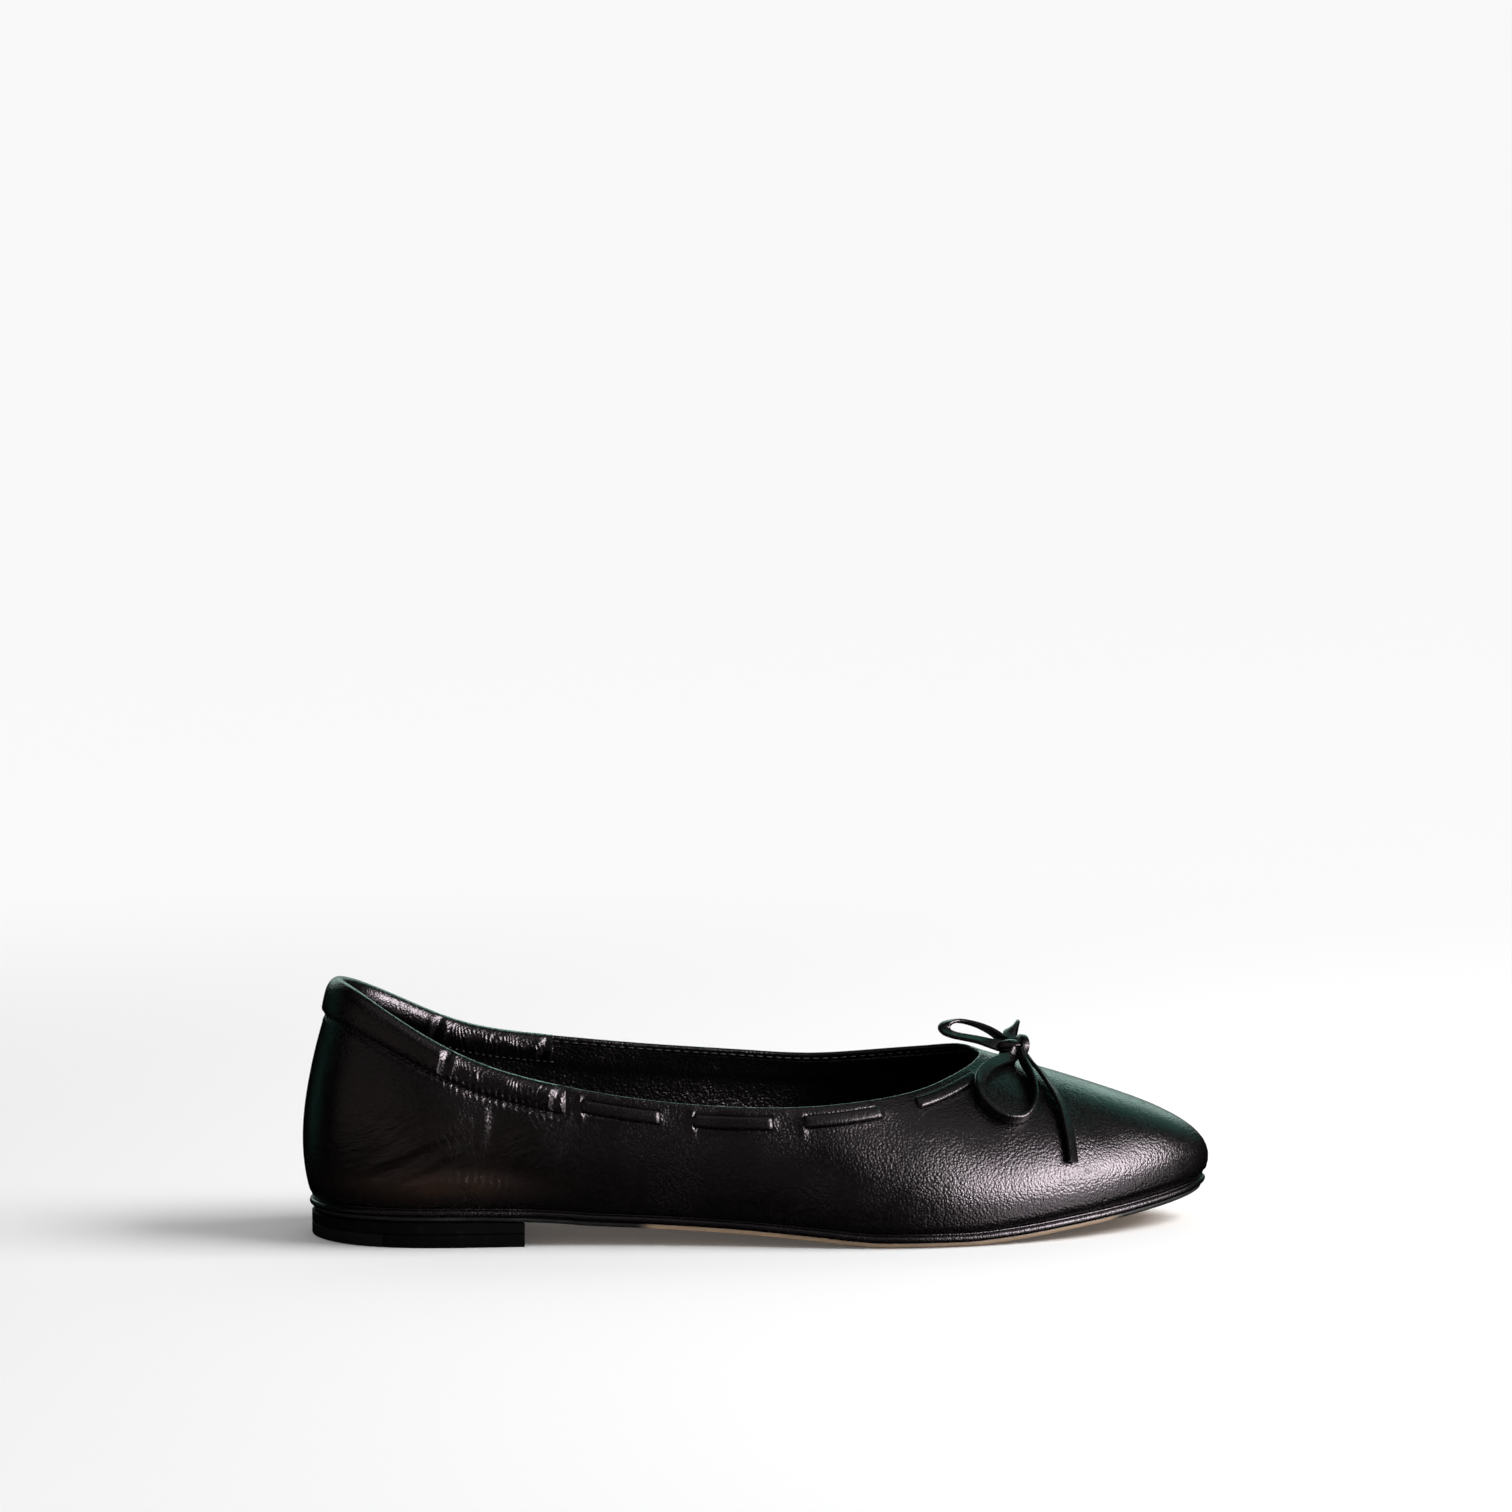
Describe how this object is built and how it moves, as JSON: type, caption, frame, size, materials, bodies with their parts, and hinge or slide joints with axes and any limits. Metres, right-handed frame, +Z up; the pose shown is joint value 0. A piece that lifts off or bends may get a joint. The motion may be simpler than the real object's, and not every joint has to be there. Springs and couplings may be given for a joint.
{
  "type": "ballet flat",
  "caption": "Low-cut soft leather ballet flat with an elastic collar casing, a drawstring lace through slits, a bow at the throat and a low stacked heel.",
  "frame": {"origin": "on the floor, under the middle of the shoe's length and width", "axes": "+X from the heel to the toe, +Y to the shoe's inner side, +Z up"},
  "size_m": [0.2503, 0.0794, 0.071],
  "materials": {
    "upper_leather": "fine-grained black nappa with a soft sheen",
    "lace_leather": "folded black nappa strip",
    "sock_leather": "matt black lining leather",
    "rand_leather": "black leather wrapped over the midsole's edge",
    "sole_leather": "smooth tan sole leather, waxed edge",
    "heel_leather": "black-dyed stacked leather",
    "heel_rubber": "matt dark grey rubber"
  },
  "bodies": {
    "root": {"upper": "upper_leather", "collar_casing": "upper_leather", "lace_outer": "lace_leather", "lace_inner": "lace_leather", "lace_knot": "lace_leather", "bow_loop_outer": "lace_leather", "bow_loop_inner": "lace_leather", "bow_end_outer": "lace_leather", "bow_end_inner": "lace_leather", "insole": "sock_leather", "midsole": "rand_leather", "outsole": "sole_leather", "heel_lift": "heel_leather", "heel_top_piece": "heel_leather", "heel_tip": "heel_rubber"}
  },
  "joints": []
}
